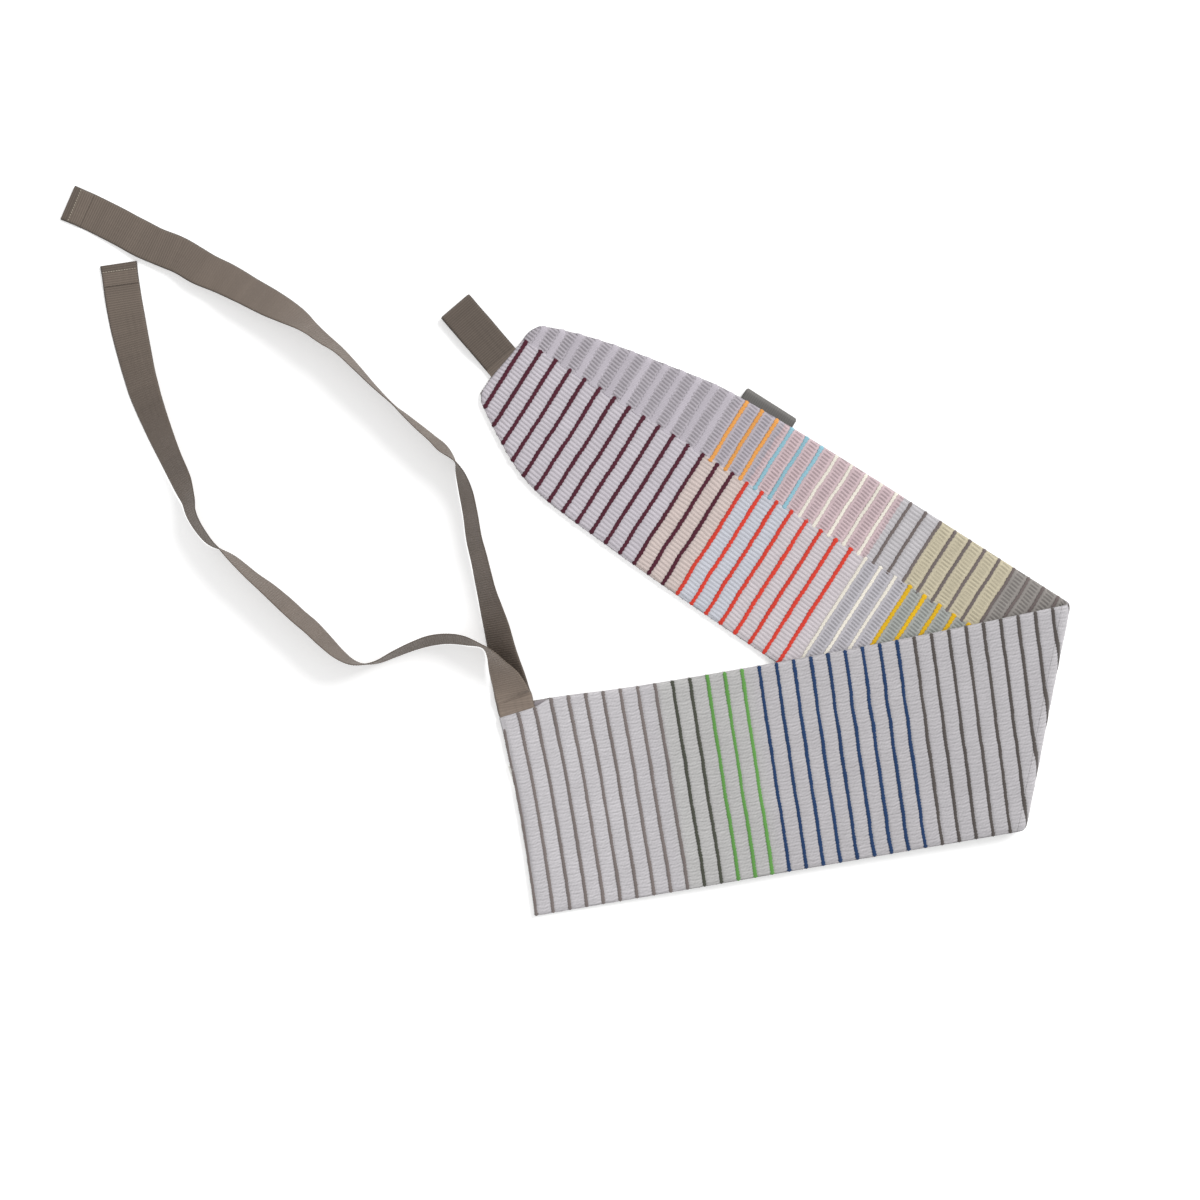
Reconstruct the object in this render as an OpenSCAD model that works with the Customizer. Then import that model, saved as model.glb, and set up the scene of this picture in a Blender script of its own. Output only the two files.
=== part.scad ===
// Tie-on baby sling band, lying folded once on a flat surface.
// A padded band with a patchwork cover on one face and a striped cover on the other is folded
// over itself. Its loop end lies underneath, patchwork up. Its tie end lies on top, stripes up.
// Two webbing ties leave a mouth in the tie end and lie loose on the surface.

/* [Band] */
// Width of the padded band
band_w = 220; // [180:5:260]
// Length of the loop arm, from the fold to the end that carries the loop
loop_arm_len = 670; // [560:10:760]
// Length of the tie arm, from the fold to the end that carries the ties
tie_arm_len = 556; // [510:2:640]
// Angle between the two arms as the band lies folded
arm_spread = 42.7; // [36:0.1:50]
// Direction that the fold faces, turned from the +X axis
fold_facing = -11.2; // [-20:0.1:0]

/* [Layers] */
// Thickness of each woven cover
cover_t = 1.5; // [1:0.1:2]
// Thickness of the wadding between the covers
wadding_t = 3; // [3:0.2:6]
// Width of the turned seam along the edges, which the wadding stops short of
seam_w = 6; // [4:0.5:10]
// Radius of the fold at the middle of the band's thickness
fold_r = 7; // [6:0.5:12]

/* [Webbing] */
// Width of the webbing of the ties and the loop
webbing_w = 38; // [32:1:44]
// Thickness of the webbing
webbing_t = 1.2; // [1:0.1:1.4]
// Length of webbing sewn inside the band at each root
tail_len = 32; // [24:1:40]
// Thickness of the stiff backing patch sewn to each root
backing_t = 0.5; // [0.3:0.1:0.6]

/* [Loop] */
// Length of the loop outside the band
loop_len = 71; // [60:1:90]
// Clear height inside the loop
loop_gap = 5.4; // [5:0.2:8]
// Angle by which the loop leans from the arm's direction
loop_lean = 16.8; // [0:0.2:20]
// Distance of the loop from the arm's middle line
loop_offset = 7; // [0:1:15]

/* [Ties] */
// Length of the turned hem at the end of each tie
hem_len = 22; // [15:1:25]
// Length of the open mouth that the ties come out of
mouth_len = 58; // [50:1:60]
// Furthest reach of the mouth's pocket into the band
mouth_depth = 52; // [45:1:60]

/* [Label] */
// Length of the label along the edge
label_len = 61; // [40:1:80]
// How far the label stands out of the edge
label_out = 9; // [6:0.5:12]
// Distance from the label to the end of the loop arm
label_from_end = 228; // [200:2:300]

/* [Hidden] */
$fn = 48;

// Where the middle of the fold lies, so that the origin is under the middle of the band's box
fold_x = 300;
fold_y = -115;

band_t = 2 * cover_t + wadding_t;
mid_z = band_t / 2;
half_w = band_w / 2;
skew = arm_spread / 2;
// The fold's cylinder: the arms are flat up to fold_edge, and its axis is at height fold_z
fold_edge = -(fold_r + mid_z);
fold_z = fold_r + mid_z;
inner_r = fold_r - mid_z;
// Clearance between pieces on different bodies
gap = 0.3;
far = 1500;

// How far the loop arm's edges draw in towards its end, as [distance from the end, inset]
top_taper = [[230, 0], [150, 15], [81, 29], [30, 45], [13, 53], [6, 64], [6, 80]];
bottom_taper = [[400, 6], [264, 10], [190, 14], [140, 17], [100, 21], [67, 32], [29, 53], [5, 68], [-3, 80]];
// The tie arm's top edge, as [distance from the end, inset]
tie_top = [[400, 6], [150, 7], [50, 4], [0, 6]];
// How far the middle of the tie arm's end is drawn in
end_hollow = 7;
// Heights of the tie arm's underside: on the loop arm, then down to the surface
lie_z = band_t + 2 * gap;
lie_from = 200;
// It lies there until the arms' edges cross
lie_to = half_w / sin(skew);
floor_from = 450;

// The ties' routes from the mouth, as [x, y, roll, height of the lower edge]
upper_route = [
    [-1, 9, 0, 4.4], [-3, 14, 11, 4.6], [-5, 20, 22, 3.6], [-10, 32, 38, 2.9], [-17, 44, 56, 2.6],
    [-24, 55, 72, 2], [-33, 64, 84, 1], [-51, 70, 75, 0.3], [-70, 72, 73, 0], [-87, 70, 73, 0], [-103, 65, 76, 0],
    [-122, 57, 80, 0], [-142, 48, 86, 0], [-156, 46, 90, 0], [-167, 48, 96, 0], [-180, 56, 104, 0],
    [-196, 71, 110, 0], [-209, 84, 112, 0], [-222, 95, 112, 0], [-235, 107, 112, 0],
    [-253, 123, 109, 0], [-269, 136, 104, 0], [-289, 154, 98, 0], [-299, 162, 90, 0],
    [-314, 173, 75, 0], [-325, 187, 70, 0], [-332, 201, 66, 0], [-335, 215, 60, 0],
    [-341, 231, 50, 0], [-354, 259, 45, 0], [-369, 294, 35, 0], [-382, 329, 25, 0],
    [-393, 370, 12, 0], [-402, 411, 0, 0], [-409, 458, 0, 0]
];
lower_route = [
    [-1, 7, 0, 1.5], [-4, 19, 12, 1.1], [-8, 37, 27, 0.6], [-13, 57, 37, 0.2], [-19, 83, 44, 0.1],
    [-24, 101, 50, 0], [-30, 123, 57, 0], [-37, 154, 60, 0], [-42, 174, 62, 0], [-46, 200, 64, 0],
    [-51, 224, 66, 0], [-57, 243, 76, 0], [-62, 254, 90, 0], [-74, 267, 105, 0], [-86, 278, 102, 0],
    [-99, 289, 100, 0], [-115, 303, 95, 0], [-124, 311, 91, 0], [-144, 330, 95, 0],
    [-163, 350, 100, 0], [-180, 367, 104, 0], [-196, 379, 110, 0], [-211, 391, 116, 0],
    [-228, 403, 130, 0], [-251, 416, 142, 0], [-273, 428, 147, 0], [-299, 442, 157, 0],
    [-321, 452, 163, 0], [-345, 466, 170, 0], [-376, 479, 174, 0], [-412, 498, 178, 0],
    [-438, 511, 180, 0], [-461, 521, 180, 0]
];

// Frames: x' points out of the fold; each arm's own x points to the fold and its y to its top edge
module at_fold() translate([fold_x, fold_y, 0]) rotate(fold_facing) children();
module in_loop_arm() at_fold() rotate(-skew) children();
module in_tie_arm() at_fold() rotate(skew) children();
loop_root_x = -(loop_arm_len + 1.5);
module at_loop() in_loop_arm() translate([loop_root_x, loop_offset, 0]) rotate(180 - loop_lean) children();
tie_x = -(tie_arm_len - webbing_w / 2);
tie_y = half_w - tie_top[3][1];
module at_mouth() in_tie_arm() translate([tie_x, tie_y, 0]) children();

// The mouth's middle in the row's frame
tie_turn = fold_facing + skew;
mouth = [
    fold_x + tie_x * cos(tie_turn) - tie_y * sin(tie_turn),
    fold_y + tie_x * sin(tie_turn) + tie_y * cos(tie_turn)
];

function mirrored(points) = [for (i = [len(points) - 1 : -1 : 0]) points[i]];
function loop_arm_outline() = concat(
    [[half_w, half_w]],
    [for (p = top_taper) [p[0] - loop_arm_len, half_w - p[1]]],
    mirrored([for (p = bottom_taper) [p[0] - loop_arm_len, p[1] - half_w]]),
    [[0, 2 - half_w], [half_w, 2 - half_w]]
);
function tie_arm_outline() = concat(
    [[half_w, half_w], [-20, half_w]],
    [for (p = tie_top) [p[0] - tie_arm_len, half_w - p[1]]],
    [[end_hollow - tie_arm_len, 0], [-tie_arm_len, 1 - half_w], [half_w, -half_w]]
);

// Slabs of an arm between two heights of its layers, drawn in by inset along its edges
module outline_prism(outline, inset, height) {
    linear_extrude(height) {
        if (inset > 0) offset(delta = -inset) polygon(outline);
        else polygon(outline);
    }
}

module loop_arm_slab(low, high, inset = 0) {
    intersection() {
        in_loop_arm() translate([0, 0, low]) outline_prism(loop_arm_outline(), inset, high - low);
        at_fold() translate([fold_edge - far, -far / 2, low]) cube([far, far, high - low]);
    }
}

function tie_heights(layer) = [
    [fold_edge - gap, fold_z + inner_r + layer], [-lie_from, lie_z + layer],
    [-lie_to, lie_z + layer], [-floor_from, layer], [-far, layer]
];

module tie_arm_slab(low, high, inset = 0) {
    intersection() {
        in_tie_arm() outline_prism(tie_arm_outline(), inset, 4 * fold_z);
        at_fold() translate([0, far / 2, 0]) rotate([90, 0, 0]) linear_extrude(far)
            polygon(concat(tie_heights(low), mirrored(tie_heights(high))));
    }
}

// A ring of the fold between two depths of the band's layers, 0 being its outside
edge_y = half_w / cos(skew);
edge_slant = -fold_edge * tan(skew);
module fold_ring(outer_depth, inner_depth, inset = 0) {
    at_fold() intersection() {
        translate([fold_edge, far / 2, fold_z]) rotate([90, 0, 0]) difference() {
            cylinder(r = fold_z - outer_depth, h = far);
            translate([0, 0, -1]) cylinder(r = fold_z - inner_depth, h = far + 2);
        }
        translate([fold_edge, 0, 0]) rotate([90, 0, 90]) linear_extrude(2 * fold_z) polygon([
            [edge_y + edge_slant - inset, 0], [edge_y - edge_slant - inset, 2 * fold_z],
            [inset - edge_y - edge_slant, 2 * fold_z], [inset - edge_y + edge_slant, 0]
        ]);
    }
}

// The pockets in the covers that hold the webbing's tails: as deep as the wadding, or as the two
// webbings and the backing patch where those are thicker
pocket_t = max(wadding_t, 2 * webbing_t + backing_t + 0.1);
module loop_pocket() {
    at_loop() translate([-tail_len, -webbing_w / 2, cover_t]) cube([tail_len + 10, webbing_w, pocket_t]);
}

module mouth_pocket() {
    in_tie_arm() translate([-tie_arm_len - 5, tie_y - mouth_depth, cover_t])
        cube([mouth_len + 5, mouth_depth + 10, pocket_t]);
}

// Two rows of stitches across a tail, set into its backing patch
stitch_len = 3;
stitch_w = 0.8;
stitch_pitch = 5;
function row_count(width) = floor((width - 6) / stitch_pitch);
module stitch_row(width, low, thick) {
    count = row_count(width);
    for (i = [0 : count - 1])
        translate([-stitch_w / 2, (i - (count - 1) / 2) * stitch_pitch - stitch_len / 2, low])
            cube([stitch_w, stitch_len, thick]);
}

module stitch_rows(from, to, low, thick) {
    translate([from, 0, 0]) stitch_row(webbing_w, low, thick);
    translate([to, 0, 0]) stitch_row(webbing_w, low, thick);
}

tail_top = cover_t + 2 * webbing_t;

// Band, loop arm
module loop_arm_patchwork_cover() {
    color([0.8, 0.55, 0.5]) difference() {
        loop_arm_slab(mid_z, band_t);
        loop_arm_slab(mid_z, band_t - cover_t, seam_w);
        loop_pocket();
    }
}

module loop_arm_wadding() {
    color([0.95, 0.95, 0.93]) difference() {
        loop_arm_slab(cover_t, band_t - cover_t, seam_w);
        loop_pocket();
    }
}

module loop_arm_striped_cover() {
    color([0.8, 0.79, 0.82]) difference() {
        loop_arm_slab(0, mid_z);
        loop_arm_slab(cover_t, mid_z, seam_w);
        loop_pocket();
    }
}

// Band, the fold itself
module fold_patchwork_cover() {
    color([0.75, 0.72, 0.6]) difference() {
        fold_ring(mid_z, band_t);
        fold_ring(mid_z, band_t - cover_t, seam_w);
    }
}

module fold_wadding() {
    color([0.95, 0.95, 0.93]) fold_ring(cover_t, band_t - cover_t, seam_w);
}

module fold_striped_cover() {
    color([0.8, 0.79, 0.82]) difference() {
        fold_ring(0, mid_z);
        fold_ring(cover_t, mid_z, seam_w);
    }
}

// Loop and what holds it
loop_h = loop_gap + 2 * webbing_t;
loop_r = loop_h / 2;
root_z = cover_t + webbing_t;
loop_nose = gap + webbing_t;
loop_swell = 25;
module loop_profile(inset) {
    r = loop_r - inset;
    translate([loop_len - loop_r, loop_r]) circle(r);
    polygon([
        [inset * 3, root_z - webbing_t + inset], [loop_swell, inset], [loop_len - loop_r, inset],
        [loop_len - loop_r, loop_h - inset], [loop_swell, loop_h - inset],
        [inset * 3, root_z + webbing_t - inset]
    ]);
}

module loop_webbing() {
    color([0.42, 0.38, 0.35]) at_loop() translate([loop_nose, webbing_w / 2, 0]) rotate([90, 0, 0])
        linear_extrude(webbing_w) difference() {
            union() {
                loop_profile(0);
                translate([0, root_z]) circle(webbing_t);
            }
            loop_profile(webbing_t);
        }
}

module loop_tail() {
    color([0.42, 0.38, 0.35]) at_loop() translate([-tail_len, -webbing_w / 2, cover_t])
        cube([tail_len, webbing_w, 2 * webbing_t]);
}

backing_from = -tail_len + 2;
backing_to = -10;
module backing_shape() {
    translate([backing_from, 2 - webbing_w / 2, tail_top])
        cube([backing_to - backing_from, webbing_w - 4, backing_t]);
}

module tail_stitches() stitch_rows(backing_from + 4, backing_to - 4, tail_top, backing_t);

module loop_backing_patch() {
    color([0.9, 0.9, 0.86]) at_loop() difference() {
        backing_shape();
        tail_stitches();
    }
}

module loop_stitching() {
    color([0.3, 0.28, 0.26]) at_loop() tail_stitches();
}

label_t = 0.8;
// The label stands clear of the edge by more than half its thickness, so that it can lift
label_gap = 0.6;
module side_label() {
    color([0.3, 0.3, 0.31]) in_loop_arm()
        translate([label_from_end - loop_arm_len, half_w + label_gap, mid_z - label_t / 2])
            cube([label_len, label_out, label_t]);
}

// Band, tie arm
module tie_arm_patchwork_cover() {
    color([0.8, 0.55, 0.5]) difference() {
        tie_arm_slab(0, mid_z);
        tie_arm_slab(cover_t, mid_z, seam_w);
        mouth_pocket();
    }
}

module tie_arm_wadding() {
    color([0.95, 0.95, 0.93]) difference() {
        tie_arm_slab(cover_t, band_t - cover_t, seam_w);
        mouth_pocket();
    }
}

module tie_arm_striped_cover() {
    color([0.8, 0.79, 0.82]) difference() {
        tie_arm_slab(mid_z, band_t);
        tie_arm_slab(mid_z, band_t - cover_t, seam_w);
        mouth_pocket();
    }
}

// Roots of the ties, inside the mouth
tack_w = 3;
tack_len = 14;
module mouth_bar_tack() {
    color([0.3, 0.28, 0.26]) in_tie_arm()
        translate([mouth_len - tie_arm_len - tack_w, tie_y - seam_w - tack_len, cover_t])
            cube([tack_w, tack_len, pocket_t]);
}

// In the tails' frame x runs out of the mouth. The lower tail reaches out of it to meet its tie
module at_tails() at_mouth() rotate(90) children();
lower_out = 6.3;
module lower_tie_tail() {
    color([0.42, 0.38, 0.35]) at_tails() translate([-tail_len, -webbing_w / 2, cover_t])
        cube([tail_len + lower_out, webbing_w, webbing_t]);
}

module upper_tie_tail() {
    color([0.42, 0.38, 0.35]) at_tails() translate([-tail_len, -webbing_w / 2, cover_t + webbing_t])
        cube([tail_len, webbing_w, webbing_t]);
}

module ties_backing_patch() {
    color([0.9, 0.9, 0.86]) at_tails() difference() {
        backing_shape();
        tail_stitches();
    }
}

module ties_stitching() {
    color([0.3, 0.28, 0.26]) at_tails() tail_stitches();
}

// The webbing's section: a flat strip with rounded selvedges
edge_r = webbing_t / 2;
strip = [
    [-webbing_w / 2, 0], [edge_r - webbing_w / 2, -edge_r], [0, -edge_r], [webbing_w / 2 - edge_r, -edge_r],
    [webbing_w / 2, 0], [webbing_w / 2 - edge_r, edge_r], [0, edge_r], [edge_r - webbing_w / 2, edge_r]
];

function unit(v) = v / norm(v);
function centre(p) = [p[0], p[1], p[3] + webbing_w / 2 * abs(sin(p[2])) + edge_r];
function along(route, i) = unit(
    centre(route[min(i + 1, len(route) - 1)]) - centre(route[max(i - 1, 0)])
);
// The first ring faces straight out of the mouth
function heading(route, i) = i == 0 ? [-sin(tie_turn), cos(tie_turn), 0] : along(route, i);
function across(p, t) = unit(
    let (right = unit([t[1], -t[0], 0]), w = right * cos(p[2]) + [0, 0, sin(p[2])]) w - (w * t) * t
);
function ring(route, i) =
    let (t = heading(route, i), w = across(route[i], t), n = cross(t, w))
    [for (s = strip) centre(route[i]) + s[0] * w + s[1] * n];

module tie_strip(route) {
    sides = len(strip);
    rings = len(route);
    points = [for (i = [0 : rings - 1]) each ring(route, i)];
    // Both faces of the strip are split along the same diagonal, so its thickness holds as it twists
    walls = [
        for (i = [0 : rings - 2], k = [0 : sides - 1])
            let (a = i * sides + k, b = i * sides + (k + 1) % sides)
                each k < sides / 2
                    ? [[a, b, b + sides], [a, b + sides, a + sides]]
                    : [[a, b, a + sides], [b, b + sides, a + sides]]
    ];
    ends = [[for (k = [sides - 1 : -1 : 0]) k], [for (k = [0 : sides - 1]) (rings - 1) * sides + k]];
    translate([mouth[0], mouth[1], 0]) polyhedron(points, concat(walls, ends));
}

// At a tie's end, with x running back along the tie
module at_tie_end(route) {
    last = route[len(route) - 1];
    before = route[len(route) - 2];
    translate([mouth[0] + last[0], mouth[1] + last[1], 0])
        rotate(atan2(before[1] - last[1], before[0] - last[0])) children();
}

module hem(route) {
    at_tie_end(route) translate([0, -webbing_w / 2, webbing_t]) cube([hem_len, webbing_w, webbing_t]);
}

module hem_stitches(route) {
    at_tie_end(route) translate([hem_len - 4, 0, 0]) stitch_row(webbing_w, 2 * webbing_t, 0.3);
}

module lower_tie() color([0.42, 0.38, 0.35]) tie_strip(lower_route);
module lower_tie_hem() color([0.42, 0.38, 0.35]) hem(lower_route);
module lower_tie_hem_stitches() color([0.6, 0.57, 0.52]) hem_stitches(lower_route);
module upper_tie() color([0.42, 0.38, 0.35]) tie_strip(upper_route);
module upper_tie_hem() color([0.42, 0.38, 0.35]) hem(upper_route);
module upper_tie_hem_stitches() color([0.6, 0.57, 0.52]) hem_stitches(upper_route);

loop_arm_patchwork_cover();
loop_arm_wadding();
loop_arm_striped_cover();
fold_patchwork_cover();
fold_wadding();
fold_striped_cover();
loop_webbing();
loop_tail();
loop_backing_patch();
loop_stitching();
side_label();
tie_arm_patchwork_cover();
tie_arm_wadding();
tie_arm_striped_cover();
mouth_bar_tack();
ties_backing_patch();
ties_stitching();
lower_tie_tail();
upper_tie_tail();
lower_tie();
lower_tie_hem();
lower_tie_hem_stitches();
upper_tie();
upper_tie_hem();
upper_tie_hem_stitches();
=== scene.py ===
"""Looks of a tie-on baby sling band that lies folded once: a patchwork face, a striped face, a webbing
loop and two webbing ties. Sizes are in mm, and MM turns them into metres where a piece is made."""

import math

import bpy
import numpy as np
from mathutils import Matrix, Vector, kdtree


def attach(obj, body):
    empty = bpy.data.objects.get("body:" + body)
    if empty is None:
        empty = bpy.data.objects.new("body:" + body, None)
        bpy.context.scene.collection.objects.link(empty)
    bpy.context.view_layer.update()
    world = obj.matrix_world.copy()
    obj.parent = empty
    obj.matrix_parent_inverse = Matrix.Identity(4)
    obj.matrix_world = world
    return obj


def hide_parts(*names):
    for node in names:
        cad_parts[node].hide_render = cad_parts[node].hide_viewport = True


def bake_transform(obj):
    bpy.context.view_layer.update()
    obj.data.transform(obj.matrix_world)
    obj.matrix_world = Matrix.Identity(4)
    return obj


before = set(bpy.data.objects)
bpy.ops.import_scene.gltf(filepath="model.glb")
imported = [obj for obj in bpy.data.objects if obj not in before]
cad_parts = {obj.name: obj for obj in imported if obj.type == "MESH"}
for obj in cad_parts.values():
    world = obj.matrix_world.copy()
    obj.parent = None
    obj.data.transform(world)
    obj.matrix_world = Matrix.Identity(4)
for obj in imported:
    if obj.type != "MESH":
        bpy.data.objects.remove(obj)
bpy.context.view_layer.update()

MM = 0.001

# ---- sizes, as in the CAD model (mm)
FOLD_X, FOLD_Y = 300.0, -115.0
FOLD_FACING, ARM_SPREAD = -11.2, 42.7
HALF_W = 110.0
LOOP_ARM_LEN, TIE_ARM_LEN = 670.0, 556.0
COVER_T, MID_Z, FOLD_R, SEAM_W = 1.5, 3.0, 7.0, 6.0
FOLD_EDGE, FOLD_Z = -10.0, 10.0  # the fold's middle line
WEBBING_W, WEBBING_T = 38.0, 1.2
LOOP_LEN, LOOP_GAP, LOOP_LEAN, LOOP_OFFSET = 71.0, 5.4, 16.8, 7.0
HEM_LEN = 22.0
LABEL_LEN, LABEL_OUT, LABEL_FROM_END = 61.0, 9.0, 228.0
SKEW = math.radians(ARM_SPREAD / 2)
FACING = math.radians(FOLD_FACING)
HALF_ARC = math.pi * FOLD_R / 2  # half the cloth's length round the fold
STRIPE_PITCH = 18.0
FIRST_STRIPE = 1.5  # the striped face's first stripe, from the tie end
FIRST_PATCH_STRIPE = 10.0  # the patchwork's first stripe, from the loop end
ROW_T = 36.0  # where the patchwork's two rows meet
FULL_TURN = 2 * math.pi

# ---- camera: straight down, as the layout is shown
LENS_MM, SENSOR_MM = 85.0, 36.0
VIEW_W = 1.236  # metres of floor across the picture
AIM = ((FOLD_X - 460.0) * MM, (FOLD_Y + 119.5) * MM)  # the picture's middle
camera = bpy.data.objects.new("camera", bpy.data.cameras.new("camera"))
camera.data.lens, camera.data.sensor_width = LENS_MM, SENSOR_MM
camera.location = (AIM[0], AIM[1], VIEW_W * LENS_MM / SENSOR_MM)
bpy.context.scene.collection.objects.link(camera)
bpy.context.scene.camera = camera


# ---- the band's flat cloth and its folded place
# Flat cloth: s runs along the band, negative on the loop arm and positive on the tie arm, with the crease
# through (0, 0). t runs across it, positive towards the top edge. n is height over the middle of the
# thickness, positive on the patchwork side.
LIE_TO = HALF_W / math.sin(SKEW)
HEIGHT_X = [-900.0, -450.0, -LIE_TO, -200.0, FOLD_EDGE]
HEIGHT_Z = [0.0, 0.0, 6.6, 6.6, 14.0]
CORNER_REACH = 28  # how far the profile's corners are eased


def tie_arm_height(x):
    """Height of the tie arm's underside, eased where the CAD profile has corners."""
    slope = (HEIGHT_Z[-1] - HEIGHT_Z[-2]) / (HEIGHT_X[-1] - HEIGHT_X[-2])
    total = 0
    offsets = np.linspace(-CORNER_REACH, CORNER_REACH, 9)
    for o in offsets:
        xo = x + o
        total = total + np.interp(xo, HEIGHT_X, HEIGHT_Z) + np.maximum(xo - FOLD_EDGE, 0) * slope
    return total / len(offsets)


def to_row(x, y, z):
    """From the fold's own frame, in mm, to the row's frame, in metres."""
    c, s = math.cos(FACING), math.sin(FACING)
    return np.stack([FOLD_X + x * c - y * s, FOLD_Y + x * s + y * c, z], axis=-1) * MM


def place(s, t, n):
    """Where a point of the flat cloth lies in the folded band."""
    s, t, n = np.broadcast_arrays(*(np.asarray(v, float) for v in (s, t, n)))
    a = s * math.cos(SKEW) + t * math.sin(SKEW)
    b = -s * math.sin(SKEW) + t * math.cos(SKEW)
    angle = np.clip(a, -HALF_ARC, HALF_ARC) / FOLD_R
    beyond = np.maximum(np.abs(a) - HALF_ARC, 0)
    x = FOLD_EDGE + (FOLD_R - n) * np.cos(angle) - beyond
    z = FOLD_Z + (FOLD_R - n) * np.sin(angle)
    drop = np.where(a > HALF_ARC, tie_arm_height(x) - HEIGHT_Z[-1], 0.0)
    return to_row(x, b, z + drop)


# Outline of the flat cloth, as [distance from the end, inset from the edge]
TOP_TAPER = [(230, 0), (150, 15), (81, 29), (30, 45), (13, 53)]
BOTTOM_TAPER = [(400, 6), (264, 10), (190, 14), (140, 17), (100, 21), (67, 32), (29, 53), (5, 68)]
LOOP_END = [(5, 68 - 2 * HALF_W), (-3, 80 - 2 * HALF_W), (6, -80), (6, -64), (13, -53)]
TIE_TOP = [(400, 6), (150, 6), (50, 0), (0, 2)]
# The striped cover dips in front of the ties' mouth
TIE_TOP_FRONT = [(400, 6), (150, 6), (62, 0.5), (51, 2), (43, 6), (36, 8), (0, 12)]
# The wadding leaves the mouth's pocket free
TIE_TOP_PAD = [(400, 6), (150, 7), (80, 8), (70, 30), (62, 58), (0, 60)]
END_HOLLOW = 7.0  # how far the tie arm's end curves in


def smooth_curve(points, count, rounds=3):
    """A corner-cut curve through a few given points, resampled evenly."""
    p = np.array(points, float)
    for _ in range(rounds):
        cut = [p[0]]
        for a, b in zip(p[:-1], p[1:]):
            cut += [a * 0.75 + b * 0.25, a * 0.25 + b * 0.75]
        p = np.array(cut + [p[-1]])
    return resample(p, count)


def resample(p, count):
    """count points spaced evenly along the line p."""
    step = np.r_[0, np.cumsum(np.linalg.norm(np.diff(p, axis=0), axis=1))]
    at = np.linspace(0, step[-1], count)
    return np.stack([np.interp(at, step, p[:, k]) for k in range(p.shape[1])], axis=1)


def crease_point(a, t):
    """The flat-cloth point at t that lies a from the crease."""
    return ((a - t * math.sin(SKEW)) / math.cos(SKEW), t)


def coons(start, end, bottom, top):
    """A grid of flat-cloth points spanned by four edge curves: [along, across, (s, t)]."""
    w = np.linspace(0, 1, len(bottom))[:, None, None]
    q = np.linspace(0, 1, len(start))[None, :, None]
    ruled = (1 - w) * start[None] + w * end[None] + (1 - q) * bottom[:, None] + q * top[:, None]
    corners = (1 - w) * ((1 - q) * bottom[0] + q * top[0]) + w * ((1 - q) * bottom[-1] + q * top[-1])
    return ruled - corners


ROWS = 201
LOOP_COLS, TIE_COLS, FOLD_COLS = 429, 365, 25


def grid_size(cols, step):
    """Columns and rows of a grid that keeps every step-th point of the full one."""
    return (cols - 1) // step + 1, (ROWS - 1) // step + 1


def loop_arm_grid(step):
    top = [crease_point(-HALF_ARC, HALF_W)] + [(d - LOOP_ARM_LEN, HALF_W - i) for d, i in TOP_TAPER]
    low = [crease_point(-HALF_ARC, 1 - HALF_W)] + [(d - LOOP_ARM_LEN, i - HALF_W) for d, i in BOTTOM_TAPER]
    end = [(d - LOOP_ARM_LEN, HALF_W + i) for d, i in LOOP_END]
    cols, rows = grid_size(LOOP_COLS, step)
    return coons(
        resample(np.array([low[0], top[0]]), rows), smooth_curve(end, rows),
        smooth_curve(low, cols), smooth_curve(top, cols),
    )


def tie_arm_grid(step, taper=TIE_TOP):
    top = [crease_point(HALF_ARC, HALF_W)] + [(TIE_ARM_LEN - d, HALF_W - i) for d, i in taper]
    low = [crease_point(HALF_ARC, -HALF_W), (TIE_ARM_LEN, 1 - HALF_W)]
    end = [low[-1], (TIE_ARM_LEN - END_HOLLOW, 0), top[-1]]
    cols, rows = grid_size(TIE_COLS, step)
    return coons(
        resample(np.array([low[0], top[0]]), rows), smooth_curve(end, rows),
        smooth_curve(low, cols), smooth_curve(top, cols),
    )


def tie_arm_front_grid(step):
    return tie_arm_grid(step, TIE_TOP_FRONT)


def tie_arm_pad_grid(step):
    return tie_arm_grid(step, TIE_TOP_PAD)


def fold_grid(step):
    ends = ((-HALF_ARC, 1 - HALF_W), (-HALF_ARC, HALF_W), (HALF_ARC, -HALF_W), (HALF_ARC, HALF_W))
    low_a, top_a, low_b, top_b = (np.array(crease_point(*e)) for e in ends)
    cols, rows = grid_size(FOLD_COLS, step)
    return coons(
        resample(np.array([low_a, top_a]), rows), resample(np.array([low_b, top_b]), rows),
        resample(np.array([low_a, low_b]), cols), resample(np.array([top_a, top_b]), cols),
    )


def outlines():
    """The flat band's edge as closely spaced lines, without the crease lines."""
    g, h, f = loop_arm_grid(2), tie_arm_grid(2), fold_grid(2)
    return [g[:, 0], g[:, -1], g[-1], h[:, 0], h[:, -1], h[-1], f[:, 0], f[:, -1]]


OUTLINES = outlines()


def mouth_zone(s, t):
    """1 where the two covers part round the ties, easing to 0 elsewhere."""
    return smoothstep(s, TIE_ARM_LEN - 56, TIE_ARM_LEN - 46) * smoothstep(t, 80, 87)


def edge_distance_finder():
    pts = np.concatenate(OUTLINES)
    tree = kdtree.KDTree(len(pts))
    for i, p in enumerate(pts):
        tree.insert((p[0], p[1], 0), i)
    tree.balance()
    return tree


EDGE_TREE = edge_distance_finder()


def edge_distance(grid):
    """Distance from each point of the grid to the band's edge."""
    flat = grid.reshape(-1, 2)
    found = np.array([EDGE_TREE.find((s, t, 0))[2] for s, t in flat])
    return found.reshape(grid.shape[:-1])


# ---- colours, from the cloth as it shows
def rgb(r, g, b):
    """sRGB 0-255 to linear."""
    v = np.array([r, g, b], float) / 255
    return np.where(v <= 0.04045, v / 12.92, ((v + 0.055) / 1.055) ** 2.4)


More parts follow.
